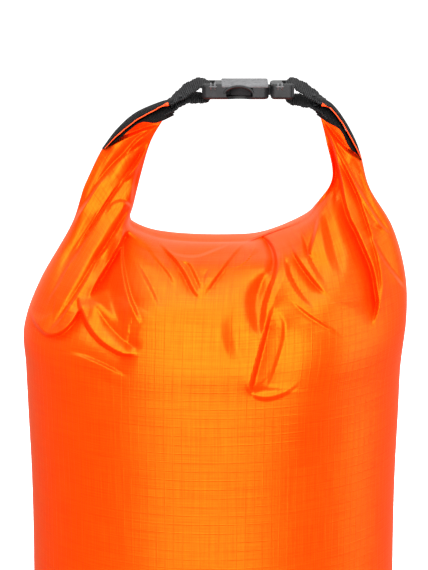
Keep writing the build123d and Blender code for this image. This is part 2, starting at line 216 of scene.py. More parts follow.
# Folds on the front, each as (height and width on its left, height and width on its right,
# sharpness, taper, points): points are seen places in mm, x and height, left and right are as one
# walks along them, and where the two heights differ one layer laps over the other; the taper is
# the share of the length over which each end dies out
FRONT_FOLDS = [
    # left arm: long pleats from the tip down to the shoulder
    (1.8, 4, -3, 6, 1, 0.2, [
        (-28.7, 397.6), (-36.4, 392.6), (-43.4, 387.6), (-50.4, 379.8), (-57.4, 372.7), (-64.4, 364.1),
        (-70, 355.6), (-75.6, 347), (-80, 338),
    ]),
    (2, 6, -4, 6, 1.2, 0.2, [
        (-33, 392), (-40, 380), (-44.8, 372.7), (-57.4, 355.6), (-68.6, 338.5), (-81.2, 318.5), (-96, 293),
    ]),
    (2.4, 4, 2.4, 5, 1.5, 0.3, [(-42, 366), (-47.6, 355.6), (-60.2, 337), (-75.6, 311.4), (-92, 285)]),
    (1.2, 3, -2.6, 4, 1, 0.25, [
        (-45, 356), (-50, 345), (-60, 329), (-67, 318.5), (-73, 308.5), (-81, 296), (-88, 286), (-94, 279),
    ]),
    (-1.8, 3, -1.8, 3, 1.3, 0.4, [(-64, 352), (-72, 338), (-80, 326), (-88, 312)]),
    (-1.5, 2.5, -1.5, 2.5, 1.3, 0.4, [(-47, 372), (-52, 362), (-57, 354)]),
    (-1.2, 2.5, 1, 2.5, 1, 0.4, [(-40.5, 377), (-44, 368), (-46, 358), (-47, 349)]),
    (-8, 11, 2.4, 4, 1.1, 0.25, [
        (-48.5, 338), (-51, 333), (-54.1, 327), (-61, 315), (-66.5, 306), (-71, 297),
    ]),
    (-2.8, 2.2, -2.8, 2.2, 1.3, 0.3, [
        (-36, 389), (-45, 382.5), (-53.2, 377.2), (-60.8, 368.1), (-67.2, 360.5),
    ]),
    (-2.2, 5, 1.8, 3, 1, 0.25, [
        (-42, 373), (-48, 367), (-55.7, 359.1), (-64.6, 346.1), (-73.6, 331.9), (-83.7, 313.8), (-95, 297),
    ]),
    (-2.2, 4, 2, 4, 1, 0.3, [(-62, 345), (-58, 351), (-53.2, 353.5), (-49, 352.4), (-45.5, 349)]),
    (-1.6, 2, -1.6, 2, 1.3, 0.35, [(-52, 345), (-57, 334), (-63, 323), (-70, 310)]),
    (2.6, 6, -1.6, 6, 1, 0.2, [
        (-104, 292), (-101, 284), (-95, 277.5), (-87.8, 278), (-81.6, 283), (-76.5, 290), (-73, 296),
    ]),
    # dome, left of the middle
    (-2.4, 7, 3, 4.5, 1, 0.25, [
        (-50, 342), (-51.5, 332), (-51.8, 322), (-50.5, 311), (-48, 300), (-44.5, 291), (-41, 283),
    ]),
    (-4.8, 5.5, -4.8, 5.5, 1.7, 0.3, [(-55, 336), (-59.5, 322), (-60.5, 307), (-57, 292), (-50, 277)]),
    (4, 8, -2.8, 7, 1.1, 0.2, [
        (-77, 300), (-75.5, 292), (-71.5, 282.2), (-65.9, 274.8), (-59.2, 269.6), (-51.6, 266), (-43, 266),
    ]),
    (-3.6, 5, -3.6, 3.5, 1.2, 0.35, [(-69, 297), (-62, 286), (-55, 278), (-48, 272), (-41, 270)]),
    (2.2, 5, 2.2, 6, 1.4, 0.4, [(-73, 298), (-66, 296), (-58, 289), (-50, 280)]),
    (-1.2, 5, 0.4, 5, 1.2, 0.4, [(-88, 268), (-76, 266), (-66, 262), (-56, 257), (-47, 252)]),
    (-0.5, 5, -0.5, 5, 1.6, 0.45, [(-92, 262), (-80, 258), (-70, 255), (-60, 250), (-50, 246)]),
    # the facet below the crest, with its point at the bottom
    (2.2, 7, -1.8, 6, 1, 0.3, [
        (-33, 332), (-27, 325), (-22, 319.5), (-17, 312), (-12.5, 303), (-7.5, 296.5),
    ]),
    (1.4, 7, -1.3, 7, 1.1, 0.4, [(-7.5, 296.5), (-2, 306), (5, 316), (12, 325), (20, 333)]),
    (-1, 3, 1.2, 4, 1, 0.3, [(-30, 327), (-20, 323), (-10, 322.5), (0, 326), (12, 331)]),
    (1.4, 3, -1.6, 3, 1, 0.3, [(-21, 320), (-15, 318), (-12, 313), (-9, 306), (-8, 300)]),
    (1, 3, -1, 3, 1, 0.35, [(-3, 316), (-6, 309), (-6, 302)]),
    (-1.2, 5, 0.9, 6, 1, 0.4, [(-46, 322), (-40, 312), (-34, 300), (-30, 288)]),
    (0.9, 5, -0.8, 6, 1, 0.4, [(-40, 330), (-34, 322), (-26, 312), (-20, 300)]),
    # dome, middle: a layer that laps to the left, and the pocket below it
    (2.2, 8, -4.6, 7, 1.1, 0.25, [
        (20, 336), (27, 333), (31.5, 328), (33.8, 321), (33.6, 313), (30.6, 304), (27.8, 295), (26.5, 286),
        (26, 274),
    ]),
    (2.4, 5, 1.6, 5, 1.2, 0.3, [(37, 332), (39.5, 322), (38, 312), (33.5, 301), (31, 290)]),
    (-4.2, 4, -4.2, 4.5, 1.6, 0.35, [(30, 316), (25.5, 306), (23, 295), (24, 284), (27, 272)]),
    (-3.4, 3.2, -3.4, 3.2, 1.6, 0.35, [(26, 336), (30.5, 328), (32.5, 319), (29, 309)]),
    (-1.5, 5, -1.5, 6, 1.6, 0.45, [(15, 302), (11.5, 290), (11, 277), (14, 265), (19, 256)]),
    (0.9, 5, 0.9, 5, 1.5, 0.45, [(5, 294), (3, 282), (4.5, 271), (9, 261)]),
    (-5, 11, 1, 5, 1.4, 0.3, [
        (32.5, 296), (29.5, 284), (27, 274), (24.5, 264), (22, 254), (20.5, 247), (21, 241),
    ]),
    (1.2, 4, 0.3, 6, 1.1, 0.35, [
        (32, 293), (35.5, 290.5), (38.5, 284), (38, 274), (35, 263), (31.5, 252), (27, 244),
    ]),
    (1.2, 6, -0.1, 7, 1.1, 0.4, [
        (16, 254), (19, 245.5), (25, 241.2), (33, 241.2), (42, 245), (50, 253),
    ]),
    # dome, right of the middle
    (-2.8, 6, 1.6, 5, 1.1, 0.35, [(37, 328), (39, 318), (43, 308), (49, 299), (57, 291)]),
    (1.8, 5, -2.2, 6, 1.1, 0.35, [(41, 334), (44.5, 324), (50, 315), (57, 306), (65, 298)]),
    (-2.6, 4, 1.4, 5, 1.1, 0.35, [(46, 341), (49, 331), (52, 322), (57, 313), (62, 306)]),
    (2.2, 4, -1.8, 4, 1, 0.35, [(58, 347), (55.5, 336), (52.8, 326), (51, 318)]),
    (-3, 4, -3, 5, 1.5, 0.4, [(61, 352), (63.5, 338), (67, 325), (72, 309)]),
    (2.2, 4, 2.2, 4, 1.4, 0.4, [(57, 354), (58.5, 340), (61.5, 326), (66, 311)]),
    (1.2, 6, -1.2, 6, 1, 0.4, [(40, 300), (50, 291), (60, 284), (72, 276)]),
    # right arm
    (2.6, 7, -6.4, 8, 1.1, 0.12, [
        (57, 402), (62.3, 390), (66, 380), (69.3, 367), (71.7, 354), (74.5, 344.6), (78.7, 336.2),
        (83.6, 325.4), (87.7, 315.3), (90, 304.5), (91, 294), (88, 281),
    ]),
    (-2.4, 4, 2, 3.5, 1, 0.2, [
        (57.3, 400.6), (63.1, 392.3), (70.5, 378.1), (78.7, 363), (86.1, 350.5), (93, 340), (99, 334),
    ]),
    (2.4, 2.6, -2, 4, 1.1, 0.25, [
        (66, 384), (71.3, 374.6), (76, 364), (80.2, 354.2), (86.2, 336.8), (91, 319.4), (93, 304), (91, 288),
    ]),
    (-2.2, 2.2, -2.2, 2.2, 1.3, 0.35, [(66, 380), (73, 368), (79, 357), (86, 346), (92, 339)]),
    (-1.4, 2.5, -1.4, 2.5, 1.3, 0.4, [(84, 341), (90, 338), (97, 337)]),
    (-2.6, 5, 1.8, 6, 1, 0.25, [(84, 340), (90, 328), (96, 318), (102, 310), (107, 303)]),
    (-2, 3, -2, 3, 1.3, 0.4, [(74, 380), (79, 370), (83.5, 360), (88, 350)]),
    (-1.6, 3, -1.6, 3, 1.3, 0.4, [(65, 372), (67, 360), (68, 348)]),
    # broad fullness of the wall on the right, below the dome
    (3.4, 24, 3.4, 24, 2, 0.5, [(70, 318), (46, 196)]),
    # the pockets under the mouth strips
    (-5, 6, 0.8, 4, 1, 0.15, [(-61, 383.5), (-50, 388.9), (-37.7, 394), (-27, 396.5)]),
    (-5, 6, 0.8, 4, 1, 0.15, [(57, 401), (62.3, 394), (68, 387.1), (73.8, 381.2), (80, 377)]),
]
# Folds on the back, where the rolled mouth lies on the bag and the side seam runs down
BACK_FOLDS = [
    # the roll, the edge of its outer turn, and the line where it lies on the bag
    (2.2, 13, 2.2, 13, 2, 0.2, [
        (-76, 372), (-66, 348), (-50, 329), (-26, 321), (8, 318), (36, 321), (58, 331), (74, 350), (86, 372),
    ]),
    (0.7, 4, -0.9, 4, 1, 0.15, [
        (-62, 372), (-56, 350), (-44, 335), (-24, 327), (8, 324), (34, 327), (54, 337), (66, 354), (73, 376),
    ]),
    (1, 6, -2.4, 7, 1.1, 0.2, [
        (-90, 346), (-76, 330), (-56, 313), (-28, 305), (8, 302), (38, 305), (62, 314), (80, 330), (96, 346),
    ]),
    # the side seam
    (0.35, 4, -0.35, 4, 1, 0.1, [(0, 4), (0, 100), (0, 200), (1, 300)]),
    # gathers below the roll
    (1, 4, -1.8, 6, 1.1, 0.3, [(-66, 314), (-76, 298), (-86, 282), (-94, 268)]),
    (-2, 5, 1, 3, 1.1, 0.3, [(-46, 305), (-50, 292), (-59, 278), (-62, 258)]),
    (-1.8, 4, -1.8, 5, 1.5, 0.4, [(-33, 301), (-33, 288), (-38, 270)]),
    (1.1, 4, -1.8, 5, 1.1, 0.3, [(-17, 300), (-10, 286), (-13, 268), (-6, 250)]),
    (-1.4, 4, -1.4, 5, 1.5, 0.4, [(15, 299), (19, 286), (15, 270)]),
    (-2, 6, 1, 4, 1.1, 0.3, [(33, 302), (42, 288), (46, 270), (42, 248)]),
    (1.1, 4, -2, 6, 1.1, 0.3, [(57, 310), (63, 294), (74, 278), (78, 256)]),
    (-1.2, 4, -1.2, 4, 1.4, 0.4, [(73, 322), (82, 306), (90, 294)]),
    (1, 4, -1.2, 6, 1, 0.3, [(86, 346), (93, 328), (98, 306), (98, 286)]),
    # the arms
    (1, 4, -1.2, 5, 1, 0.3, [(-33, 394), (-46, 380), (-57, 362), (-66, 344)]),
    (-1.3, 4, -1.3, 4, 1.4, 0.4, [(-42, 376), (-48, 362), (-52, 348)]),
    (-1.4, 4, 1, 4, 1, 0.3, [(60, 396), (68, 376), (74, 358), (84, 342)]),
    (-1.3, 4, -1.3, 4, 1.4, 0.4, [(62, 380), (64, 366), (66, 352)]),
]
FOLD_SAMPLES = 80
# Beyond this many widths a fold adds nothing, and a tapered end keeps this share of its width
FOLD_REACH = 3.5
END_WIDTH = 0.4
# The width in mm of the wall where one layer laps over another
LAP_WALL = 1.1
# Folds die out this near to the middle plane, in mm, so that the outline stays as it is
STILL_EDGE = 6.0
# Every fold's height is multiplied by this, and where the fabric turns away from the sight line
# the lift grows, as if the fabric faced it by at least this share
FOLD_GAIN = 1.6
LEAST_FACING = 0.7
# Folds that add up level off towards this height and this depth, in mm
HIGHEST = 4.0
DEEPEST = 9.0


def fold_field(places, folds):
    """The height in mm that the folds add at each seen place (n, 2)."""
    total = np.zeros(len(places))
    for left_height, left_width, right_height, right_width, sharp, end, points in folds:
        line = spline(points, np.linspace(0, len(points) - 1, FOLD_SAMPLES))
        reach = FOLD_REACH * max(left_width, right_width)
        low, high = line.min(axis=0) - reach, line.max(axis=0) + reach
        near = np.all((places > low) & (places < high), axis=1)
        if not near.any():
            continue
        here = places[near]
        gap = here[:, None, :] - line[None, :, :]
        k = (gap**2).sum(axis=2).argmin(axis=1)
        along = np.gradient(line, axis=0)[k]
        offset = here - line[k]
        step = np.clip((along * offset).sum(axis=1) / (along**2).sum(axis=1), -0.5, 0.5)
        offset -= along * step[:, None]
        distance = np.hypot(offset[:, 0], offset[:, 1])
        cross = along[:, 0] * offset[:, 1] - along[:, 1] * offset[:, 0]
        side = smooth(0.5 + 0.5 * np.sign(cross) * distance / LAP_WALL)
        part = np.clip((k + step) / (FOLD_SAMPLES - 1), 0, 1)
        taper = smooth(part / end) * smooth((1 - part) / end)
        narrowed = distance / (END_WIDTH + (1 - END_WIDTH) * taper)
        left = left_height * np.exp(-((narrowed / left_width) ** sharp))
        right = right_height * np.exp(-((narrowed / right_width) ** sharp))
        total[near] += (side * left + (1 - side) * right) * taper
    limit = np.where(total > 0, HIGHEST, DEEPEST)
    return limit * np.tanh(total / limit)


def finer(grid):
    """The grid with FINER times as many columns and rows, by splines both ways."""
    rows = np.linspace(0, grid.shape[1] - 1, (grid.shape[1] - 1) * FINER + 1)
    tall = np.stack([spline(column, rows) for column in grid])
    looped = np.concatenate([tall[-2:], tall, tall[:3]], axis=0)
    columns = 2 + np.arange(grid.shape[0] * FINER) / FINER
    return np.stack([spline(looped[:, j], columns) for j in range(tall.shape[1])], axis=1)


def lifted(grid, front_folds, back_folds):
    """The grid with its folds, lifted along the sight lines so that no lap's wall shows its side."""
    points = grid.reshape(-1, 3).copy()
    normals = normals_of(grid).reshape(-1, 3)
    for side, folds in ((-1, front_folds), (1, back_folds)):
        here = points[:, 1] * side > 0
        eye = CAMERA_PLACE * np.array([1.0, -side, 1.0])
        towards = eye - points[here]
        towards /= np.linalg.norm(towards, axis=1, keepdims=True)
        lift = fold_field(seen(points[here], side), folds)
        facing = np.sum(normals[here] * towards, axis=1)
        lift *= FOLD_GAIN * smooth(np.abs(points[here, 1]) / STILL_EDGE) / np.clip(facing, LEAST_FACING, 1)
        points[here] += towards * lift[:, None]
    return points.reshape(grid.shape)


def sculpted_grid():
    return lifted(finer(whole_grid()), FRONT_FOLDS, BACK_FOLDS)


def fabric_places(grid):
    """Where each vertex lies on the flat fabric, in mm: round the bag from the left, and up it."""
    columns = grid.shape[0]
    round_it = np.arange(columns) / columns * 2 * math.pi * PROFILE[-1][1]
    steps = np.linalg.norm(np.diff(grid, axis=1), axis=2).mean(axis=0)
    up_it = np.concatenate([[0], np.cumsum(steps)])
    return np.stack(np.broadcast_arrays(round_it[:, None], up_it[None, :]), axis=-1)


def mesh_from_grid(name, grid, places, keep_face):
    """The grid's faces whose centres keep_face picks, as a mesh; its normals are those of the
    whole grid, so that cut pieces meet without a line."""
    columns, rows = grid.shape[:2]
    index = np.arange(columns * rows).reshape(columns, rows)
    nxt = np.roll(index, -1, axis=0)
    quads = np.stack([index[:, :-1], nxt[:, :-1], nxt[:, 1:], index[:, 1:]], axis=-1).reshape(-1, 4)
    wrapped = np.repeat(np.arange(columns) == columns - 1, rows - 1)
    corner_places = places.reshape(-1, 2)[quads]
    corner_places[wrapped, 1:3, 0] += 2 * math.pi * PROFILE[-1][1]
    points = grid.reshape(-1, 3)
    kept = keep_face(points[quads].mean(axis=1))
    quads, corner_places = quads[kept], corner_places[kept]
    used = np.unique(quads)
    renumber = np.full(columns * rows, -1)
    renumber[used] = np.arange(len(used))
    mesh = bpy.data.meshes.new(name)
    mesh.from_pydata((points[used] * MM).tolist(), [], renumber[quads].tolist())
    mesh.polygons.foreach_set("use_smooth", np.ones(len(mesh.polygons), bool))
    layer = mesh.uv_layers.new(name="fabric")
    layer.data.foreach_set("uv", corner_places.reshape(-1))
    mesh.update()
    normals = normals_of(grid).reshape(-1, 3)[used]
    mesh.normals_split_custom_set_from_vertices(normals.tolist())
    return mesh


def put(mesh, material, body=None):
    """The mesh as an object that rides on a body, or on nothing when no body is given."""
    mesh.materials.append(material)
    obj = bpy.data.objects.new(mesh.name, mesh)
    bpy.context.scene.collection.objects.link(obj)
    if body:
        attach(obj, body)
    return obj


def joined(name, pieces):
    """One mesh made of several, which are used up."""
    whole = bmesh.new()
    for piece in pieces:
        whole.from_mesh(piece)
        bpy.data.meshes.remove(piece)
    mesh = bpy.data.meshes.new(name)
    whole.to_mesh(mesh)
    whole.free()
    return mesh


# ---- materials ----
def new_material(name):
    m = bpy.data.materials.new(name)
    m.use_nodes = True
    return m, m.node_tree.nodes["Principled BSDF"], m.node_tree


def feed(tree, socket, value):
    """Set a socket to a value, or link it where the value is itself a socket."""
    if isinstance(value, bpy.types.NodeSocket):
        tree.links.new(value, socket)
    else:
        socket.default_value = value


def node(tree, kind, **inputs):
    """A new shader node with the given inputs set or linked."""
    n = tree.nodes.new(kind)
    for key, value in inputs.items():
        feed(tree, n.inputs[key], value)
    return n


def maths(tree, operation, *values, clamp=False):
    n = tree.nodes.new("ShaderNodeMath")
    n.operation = operation
    n.use_clamp = clamp
    for socket, value in zip(n.inputs, values):
        feed(tree, socket, value)
    return n.outputs[0]


def wave(tree, value, pitch):
    """A sine that repeats every pitch along a value."""
    return maths(tree, "SINE", maths(tree, "MULTIPLY", value, 2 * math.pi / pitch))


def line_mask(tree, value, pitch, half_width):
    """1 on lines every pitch along a value, 0 between them."""
    away = maths(tree, "PINGPONG", value, pitch / 2)
    return maths(tree, "SUBTRACT", 1.0, maths(tree, "DIVIDE", away, half_width), clamp=True)


def noise(tree, place, scale, detail=2.0):
    return node(tree, "ShaderNodeTexNoise", Vector=place, Scale=scale, Detail=detail).outputs["Fac"]


def stretched_noise(tree, place, scale):
    mapping = node(tree, "ShaderNodeMapping", Vector=place, Scale=scale)
    return noise(tree, mapping.outputs[0], 1.0)


def mixed(tree, factor, a, b):
    """The colour between a and b."""
    n = tree.nodes.new("ShaderNodeMix")
    n.data_type = "RGBA"
    tree.links.new(factor, n.inputs["Factor"])
    for key, colour in (("A", a), ("B", b)):
        socket = next(i for i in n.inputs if i.name == key and i.type == "RGBA")
        socket.default_value = (*colour, 1)
    return next(o for o in n.outputs if o.type == "RGBA")


def bumped(tree, shader, height, strength, distance):
    bump = node(tree, "ShaderNodeBump", Height=height, Strength=strength, Distance=distance)
    tree.links.new(bump.outputs["Normal"], shader.inputs["Normal"])


# On the fabric, in mm: the pitch of the doubled yarns, half their width, and the pitch of the plain
# weave and of the webbing's twill; and how much darker a doubled yarn is
RIPSTOP_PITCH = 4.8
RIPSTOP_LINE = 0.35
WEAVE_PITCH = 0.9
TWILL_PITCH = 0.8
RIPSTOP_SHADE = 0.22
# How fast a yarn's shade changes across it and along it
YARN_ACROSS = 1.6
YARN_ALONG = 0.035
ORANGE_DEEP = (1.0, 0.05, 0.0012)
ORANGE_FULL = (1.0, 0.084, 0.0022)


def ripstop_material():
    """Coated nylon: a fine plain weave, a raised grid of doubled yarns, and uneven yarns."""
    m, shader, tree = new_material("ripstop_nylon")
    shader.inputs["Metallic"].default_value = 0.6
    shader.inputs["Roughness"].default_value = 0.36
    shader.inputs["Specular IOR Level"].default_value = 0.1
    shader.inputs["Specular Tint"].default_value = (1.0, 0.5, 0.25, 1)
    place = node(tree, "ShaderNodeUVMap")
    place.uv_map = "fabric"
    parts = node(tree, "ShaderNodeSeparateXYZ", Vector=place.outputs[0])
    across, up = parts.outputs["X"], parts.outputs["Y"]
    grid = maths(
        tree, "MAXIMUM",
        line_mask(tree, across, RIPSTOP_PITCH, RIPSTOP_LINE),
        line_mask(tree, up, RIPSTOP_PITCH, RIPSTOP_LINE),
    )
    warp = stretched_noise(tree, place.outputs[0], (YARN_ACROSS, YARN_ALONG, 1))
    weft = stretched_noise(tree, place.outputs[0], (YARN_ALONG, YARN_ACROSS, 1))
    yarns = maths(tree, "ADD", warp, weft)
    shade = maths(tree, "SUBTRACT", maths(tree, "MULTIPLY", yarns, 1.5), 1.0, clamp=True)
    shade = maths(tree, "SUBTRACT", shade, maths(tree, "MULTIPLY", grid, RIPSTOP_SHADE), clamp=True)
    tree.links.new(mixed(tree, shade, ORANGE_DEEP, ORANGE_FULL), shader.inputs["Base Color"])
    weave = maths(tree, "MULTIPLY", wave(tree, across, WEAVE_PITCH), wave(tree, up, WEAVE_PITCH))
    height = maths(tree, "ADD", maths(tree, "MULTIPLY", weave, 0.12), maths(tree, "MULTIPLY", grid, 0.9))
    height = maths(tree, "ADD", height, maths(tree, "MULTIPLY", yarns, 0.9))
    bumped(tree, shader, height, 0.5, 0.00012)
    return m


def woven_black_material(name, ribs, dark, light):
    """Black webbing: ribs across the tape at the given pitch in mm, and a fine twill on them."""
    m, shader, tree = new_material(name)
    shader.inputs["Roughness"].default_value = 0.62
    shader.inputs["Specular IOR Level"].default_value = 0.06
    place = node(tree, "ShaderNodeUVMap")
    place.uv_map = "fabric"
    parts = node(tree, "ShaderNodeSeparateXYZ", Vector=place.outputs[0])
    across, along = parts.outputs["X"], parts.outputs["Y"]
    rib = wave(tree, along, ribs)
    slanted = maths(tree, "ADD", across, maths(tree, "MULTIPLY", along, 0.6))
    twill = wave(tree, slanted, TWILL_PITCH)
    lumps = stretched_noise(tree, place.outputs[0], (0.9, 0.9, 1.0))
    pattern = maths(tree, "ADD", maths(tree, "MULTIPLY", rib, 0.6), maths(tree, "MULTIPLY", twill, 0.4))
    shade = maths(tree, "ADD", maths(tree, "MULTIPLY", pattern, 0.4), lumps, clamp=True)
    tree.links.new(mixed(tree, shade, dark, light), shader.inputs["Base Color"])
    bumped(tree, shader, maths(tree, "ADD", pattern, lumps), 1.0, 0.0005)
    return m


# Scale of the clouds in moulded and coated finishes
CLOUD_SCALE = 260.0


def grained_material(name, dark, light, rough, grain_scale, depth):
    """A finish with fine grain and faint pale clouds: moulded plastic, thread, or coated tape."""
    m, shader, tree = new_material(name)
    shader.inputs["Roughness"].default_value = rough
    shader.inputs["Specular IOR Level"].default_value = 0.15
    place = node(tree, "ShaderNodeTexCoord").outputs["Object"]
    grain = noise(tree, place, grain_scale)
    cloud = noise(tree, place, CLOUD_SCALE, 4.0)
    shade = maths(tree, "MULTIPLY", maths(tree, "MULTIPLY", grain, cloud), 2.2, clamp=True)
    tree.links.new(mixed(tree, shade, dark, light), shader.inputs["Base Color"])
    bumped(tree, shader, grain, 0.35, depth)
    return m


# ---- the bag's skin: the torso, and an arm on each side ----
CUT_HEIGHT = 343.0
CUT_X = 8.0


def make_skin():
    grid = sculpted_grid()
    places = fabric_places(grid)
    tests = {
        "torso_skin": lambda c: c[:, 2] < CUT_HEIGHT,
        "left_arm_skin": lambda c: (c[:, 2] >= CUT_HEIGHT) & (c[:, 0] < CUT_X),
        "right_arm_skin": lambda c: (c[:, 2] >= CUT_HEIGHT) & (c[:, 0] >= CUT_X),
    }
    skins = {}
    for name, test in tests.items():
        skins[name] = put(mesh_from_grid(name, grid, places, test), RIPSTOP)
    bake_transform(skins["torso_skin"])
    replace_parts(skins["torso_skin"], "body_panel", "closure_roll")
    for side in ("left", "right"):
        skin = skins[f"{side}_arm_skin"]
        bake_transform(skin)
        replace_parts(skin, f"{side}_arm_gather", f"{side}_arm_roll")


# ---- the mouth strips on the arms ----
CAMERA_RISE = (CAMERA_PLACE[2] - 400.0) / -CAMERA_PLACE[1]


def swept(name, rings, cap=True):
    """A tube through rings of points (n, k, 3) in mm, with places along it and round it in mm."""
    rings = np.asarray(rings, float)
    n, k = rings.shape[:2]
    index = np.arange(n * k).reshape(n, k)
    nxt = np.roll(index, -1, axis=1)
    faces = np.stack([index[:-1], index[1:], nxt[1:], nxt[:-1]], axis=-1).reshape(-1, 4).tolist()
    along = np.concatenate([[0], np.cumsum(np.linalg.norm(np.diff(rings.mean(axis=1), axis=0), axis=1))])
    girth = np.linalg.norm(np.roll(rings, -1, axis=1) - rings, axis=2).mean(axis=0)
    around = np.concatenate([[0], np.cumsum(girth)])
    corners = []
    for i in range(n - 1):
        for j in range(k):
            a, b = around[j], around[j + 1]
            corners += [(a, along[i]), (a, along[i + 1]), (b, along[i + 1]), (b, along[i])]
    if cap:
        for ring in (list(reversed(index[0].tolist())), index[-1].tolist()):
            faces.append(ring)
            corners += [(around[j % k], 0.0) for j in range(k)]
    mesh = bpy.data.meshes.new(name)
    mesh.from_pydata((rings.reshape(-1, 3) * MM).tolist(), [], faces)
    mesh.polygons.foreach_set("use_smooth", np.ones(len(mesh.polygons), bool))
    layer = mesh.uv_layers.new(name="fabric")
    layer.data.foreach_set("uv", np.array(corners, float).reshape(-1))
    mesh.update()
    return mesh


def arch_rings(top_line, edge_line, reach, thickness, steps):
    """Rings of a band bent over like an arch: its crown on top_line, its front and back edges
    reach mm in front of and behind it on edge_line, both lines seen places (x, z)."""
    t = np.linspace(0, 1, steps)
    top = spline(top_line, t * (len(top_line) - 1))
    edge = spline(edge_line, t * (len(edge_line) - 1))
    edge = edge + [0, CAMERA_RISE * reach]
    rings = []
    for crown, rim in zip(top, edge):
        drop = rim - crown
        inward = drop / max(np.linalg.norm(drop), 1e-6)
        outer, inner = [], []
        for a in np.linspace(-90, 90, 15):
            bend = math.radians(a)
            y, down = math.sin(bend) * reach, 1 - math.cos(bend)
            shell = crown + drop * down
            outer.append((shell[0], y, shell[1]))
            lower = shell + inward * thickness * (0.35 + 0.65 * math.cos(bend))
            inner.append((lower[0], y * (1 - thickness / reach * 0.8), lower[1]))
        rings.append(outer + inner[::-1])
    return rings


def tube_rings(line, radius, sides=8):
    """Rings round a line of points (n, 3) that runs mostly in the XZ plane."""
    line = np.asarray(line, float)
    along = np.gradient(line, axis=0)
    along /= np.linalg.norm(along, axis=1, keepdims=True)
    radius = np.broadcast_to(radius, len(line))
    turns = np.arange(sides) / sides * 2 * math.pi
    side = np.array([0.0, 1.0, 0.0])
    rings = []
    for p, t, r in zip(line, along, radius):
        out = np.cross(t, side)
        out /= np.linalg.norm(out)
        rings.append([p + r * (math.cos(a) * out + math.sin(a) * side) for a in turns])
    return rings


# Seen places (x, z) along each arm: the outer strip's crown, the hem between the strips, and the
# inner strip's edge
LEFT_OUTER_TOP = [(-62.6, 383), (-54.6, 393.5), (-44.3, 402.6), (-31, 408.5), (-22.5, 410.6)]
LEFT_HEM_LINE = [(-60.6, 383), (-52.6, 391.2), (-42, 399.2), (-31.5, 405), (-25.5, 407.6)]
LEFT_INNER_EDGE = [(-59.5, 383.2), (-52, 389.2), (-41.5, 397.3), (-32, 397.4), (-22.6, 401.5)]
RIGHT_OUTER_TOP = [(81.2, 376.5), (78.5, 386), (71.6, 398.9), (64, 408.2), (56, 411.4)]
RIGHT_HEM_LINE = [(80.4, 377.5), (76.4, 385.8), (69.5, 397.4), (63.8, 404.6), (58.5, 407.4)]
RIGHT_INNER_EDGE = [(80, 378), (74.2, 384), (69, 393.2), (61.5, 397.8), (55.8, 401.8)]
# How far the strips' edges stand in front of the middle plane and behind it
STRIP_REACH = 8.6
STRIP_THICKNESS = 1.2
STRIP_STEPS = 60
# The hem's radius at its foot, what it gains a little further up, and what it gains at its tip
HEM_START = 0.12
HEM_GAIN = 0.16
HEM_SWELL = 0.7


def make_strips(side, outer_top, hem_line, inner_edge):
    body = f"{side}_arm"
    for place, top, edge, reach in (
        ("outer", outer_top, hem_line, STRIP_REACH),
        ("inner", hem_line, inner_edge, STRIP_REACH - 0.5),
    ):
        mesh = swept(f"{side}_{place}_strip", arch_rings(top, edge, reach, STRIP_THICKNESS, STRIP_STEPS))
        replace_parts(put(mesh, STRIP_BLACK, body), f"{side}_{place}_mouth_strip")
    t = np.linspace(0, 1, STRIP_STEPS)
    line = spline(hem_line, t * (len(hem_line) - 1))
    wander = 0.12 * np.sin(t * 17) + 0.06 * np.sin(t * 41 + 1)
    depth = np.full(STRIP_STEPS, -STRIP_REACH - 0.1)
    front = np.stack([line[:, 0], depth, line[:, 1] + CAMERA_RISE * STRIP_REACH + wander], axis=1)
    radius = HEM_START + HEM_GAIN * smooth(t * 4) + HEM_SWELL * smooth((t - 0.82) * 6)
    hem = swept(f"{side}_hem", tube_rings(front, radius))
    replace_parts(put(hem, HEM_ORANGE, body), f"{side}_mouth_hem")


# ---- the strips' middles, rolled up inside the crest ----
CORE_APART = 2.2
CORE_SECTION = [(-0.5, -4.5), (-0.5, 4.5), (0.5, 4.5), (0.5, -4.5)]
CORE_LINE = [(-52, 333), (-40, 327), (-20, 322.5), (8, 320.5), (34, 324), (52, 331), (66, 340)]


def make_cores():
    t = np.linspace(0, 1, STRIP_STEPS)
    line = spline(CORE_LINE, t * (len(CORE_LINE) - 1))
    for side, middle in (("front", -CORE_APART), ("rear", CORE_APART)):
        rings = [[(x, middle + y, z + up) for y, up in CORE_SECTION] for x, z in line]
        mesh = swept(f"{side}_strip_core", rings)
        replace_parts(put(mesh, STRIP_BLACK, "handle"), f"{side}_mouth_strip_core")


# ---- webbing ----
LEFT_LOOP = [
    (-27.5, 402), (-22.5, 406.5), (-17.5, 410.6), (-12.5, 411.4), (-7, 410.6), (-3.6, 411.8), (-2.6, 415.2),
    (-3.6, 418), (-7.2, 419.2), (-11.5, 417.8), (-16, 415), (-21, 411.2), (-27.5, 407.5),
]
RIGHT_LOOP = [
    (61.5, 400.5), (57.5, 405.5), (52.5, 408.6), (47, 409.6), (42, 410.2), (39.3, 411.8), (38.5, 415.2),
    (39.3, 418), (42.6, 419.4), (46.8, 417.4), (51, 414.6), (56.5, 411), (63, 407),
]
# How far the tape rolls about its own length, half way along each ply
WEB_ROLL = math.radians(15)
WEB_WIDTH = 19.6
WEB_THICKNESS = 1.25
WEB_RIB = 1.15
# Between two ribs the tape is this much narrower on each side, and thinner by this share
SELVEDGE_DIP = 0.35
RIB_DIP = 0.22
WEB_STEPS = 260
# The tape's section, as shares of its half width and half thickness
WEB_SECTION = [
    (-1, 0), (-0.94, 1), (-0.5, 1), (0, 1), (0.5, 1), (0.94, 1),
    (1, 0), (0.94, -1), (0.5, -1), (0, -1), (-0.5, -1), (-0.94, -1),
]
# Bar tacks: how far they stand off the middle, their zigzag, and their thread
TACK_LIFT = 2.6
TACK_SWING = 1.1
TACK_HALF_LENGTH = 8.0
TACK_STITCHES = 22
TACK_RADIUS = 0.32


